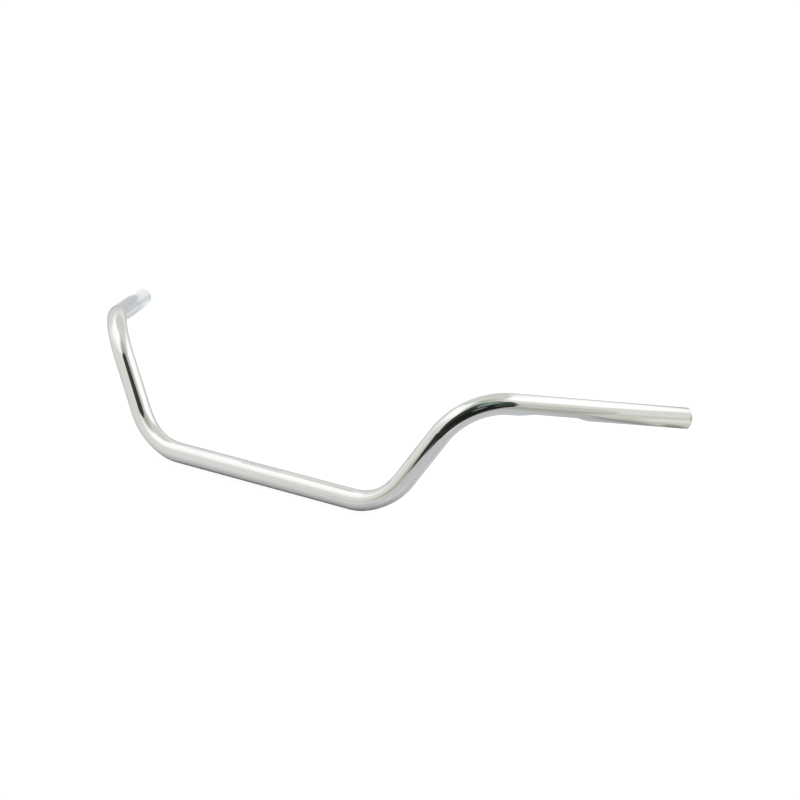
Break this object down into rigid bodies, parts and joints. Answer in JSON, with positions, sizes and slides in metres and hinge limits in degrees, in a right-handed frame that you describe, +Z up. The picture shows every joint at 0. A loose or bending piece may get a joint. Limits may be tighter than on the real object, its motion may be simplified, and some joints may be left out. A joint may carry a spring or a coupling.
{
  "type": "motorcycle handlebar",
  "caption": "Chrome motorcycle handlebar: a bent tube with a knurled clamp area, rising legs, long swept-back grips with wiring dimples, and an expander cap in each end.",
  "frame": {"origin": "underside of the tube at mid-span, where the lower halves of the riser clamps bear", "axes": "+X towards the rider's left hand, along the clamp area; +Y back towards the rider; +Z up, with the bar at its fitted angle (legs leaning back 14 degrees, grips drooping 11 degrees)"},
  "size_m": [0.8844, 0.2875, 0.1569],
  "materials": {
    "tube_chrome": "bright chrome plate",
    "cap_chrome": "bright chrome plate",
    "screw_steel": "plain stainless steel",
    "nut_zinc": "zinc plated",
    "sleeve_rubber": "matte"
  },
  "bodies": {
    "root": {"handlebar_tube": "tube_chrome", "left_end_cap": "cap_chrome", "right_end_cap": "cap_chrome", "left_cap_screw": "screw_steel", "right_cap_screw": "screw_steel", "left_cone_nut": "nut_zinc", "right_cone_nut": "nut_zinc", "left_expander_sleeve": "sleeve_rubber", "right_expander_sleeve": "sleeve_rubber"}
  },
  "joints": []
}
